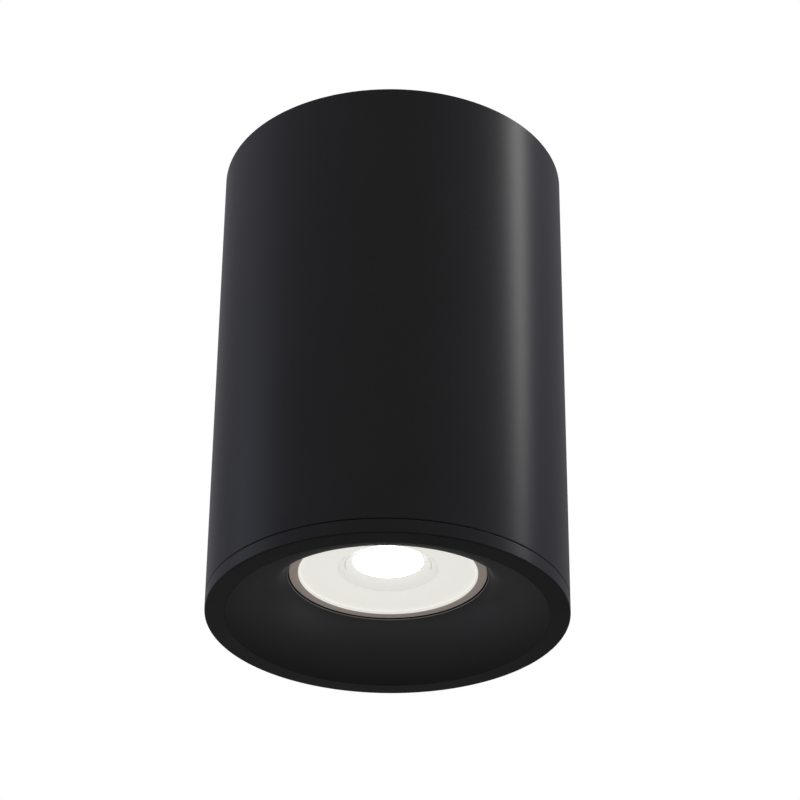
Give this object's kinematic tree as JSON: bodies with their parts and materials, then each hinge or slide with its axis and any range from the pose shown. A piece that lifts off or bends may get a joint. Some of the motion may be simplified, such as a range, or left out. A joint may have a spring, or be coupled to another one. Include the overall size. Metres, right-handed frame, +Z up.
{
  "type": "surface-mounted ceiling spotlight",
  "caption": "Black cylindrical surface-mounted ceiling spotlight with a screwed front ring, a deep horn baffle and a twist-lock reflector lamp.",
  "frame": {"origin": "centre of the ceiling plane, on the lamp's axis, between the two fixing slots", "axes": "+Z up into the ceiling, the light shines along -Z; the two side screws and the fixing slots lie along X; the terminal block is on the +Y side"},
  "size_m": [0.091, 0.091, 0.13],
  "materials": {
    "black_coat": "fine satin powder coat",
    "black_horn": "matt black coat",
    "zinc_steel": "zinc plated",
    "screw_steel": "zinc plated",
    "black_screw": "black oxide",
    "brass": "bright",
    "nickel_pin": "nickel plated",
    "spring_copper": "bright",
    "mill_aluminium": "as extruded",
    "ceramic": "unglazed steatite",
    "block_plastic": "natural polyamide",
    "grommet_rubber": "matt",
    "wire_brown": "smooth sheath",
    "wire_blue": "smooth sheath",
    "wire_earth": "green with yellow stripe",
    "bezel_grey": "satin warm grey",
    "lens_white": "milky satin",
    "lens_window": "lit milky window",
    "shell_grey": "satin grey coat",
    "board_white": "white solder mask",
    "chip_yellow": "phosphor",
    "board_green": "solder mask",
    "coil_yellow": "taped winding",
    "capacitor_black": "sleeved can",
    "base_white": "satin moulding"
  },
  "bodies": {
    "ceiling_base": {"mounting_plate": "zinc_steel", "cable_grommet": "grommet_rubber", "base_earth_screw": "screw_steel"},
    "housing_body": {"housing": "black_coat", "side_screws": "black_screw", "plate_posts": "mill_aluminium", "holder_plate": "zinc_steel", "plate_screws": "screw_steel", "holder_face": "ceramic", "lamp_holder": "ceramic", "holder_contacts": "spring_copper", "holder_cap": "ceramic", "holder_screws": "screw_steel", "terminal_block": "block_plastic", "terminal_clamps": "brass", "terminal_screws": "screw_steel", "block_screws": "screw_steel", "live_wire": "wire_brown", "neutral_wire": "wire_blue", "earth_wire": "wire_earth", "earth_lug": "spring_copper", "earth_screw": "screw_steel"},
    "baffle_body": {"baffle": "black_horn"},
    "ring_body": {"front_ring": "black_coat"},
    "lamp_body": {"lamp_bezel": "bezel_grey", "lamp_lens": "lens_white", "lens_window": "lens_window", "lamp_shell": "shell_grey", "led_board": "board_white", "led_chip": "chip_yellow", "driver_board": "board_green", "driver_coil": "coil_yellow", "driver_capacitor": "capacitor_black", "lamp_base": "base_white", "lamp_pins": "nickel_pin"}
  },
  "joints": [
    {"name": "housing_drop", "type": "slide", "parent": "ceiling_base", "child": "housing_body", "axis": [0, 0, -1], "range_m": [0, 0.04]},
    {"name": "baffle_travel", "type": "slide", "parent": "housing_body", "child": "baffle_body", "axis": [0, 0, -1], "range_m": [0, 0.008]},
    {"name": "ring_turn", "type": "hinge", "parent": "baffle_body", "child": "ring_body", "pos_m": [0, 0, -0.128], "axis": [0, 0, -1], "range_deg": [0, 1440]},
    {"name": "lamp_twist", "type": "hinge", "parent": "housing_body", "child": "lamp_body", "pos_m": [0, 0, -0.066], "axis": [0, 0, -1], "range_deg": [0, 25]}
  ],
  "couplings": [
    {"joint": "baffle_travel", "follows": "ring_turn", "m_per_rad": 0.000318}
  ]
}
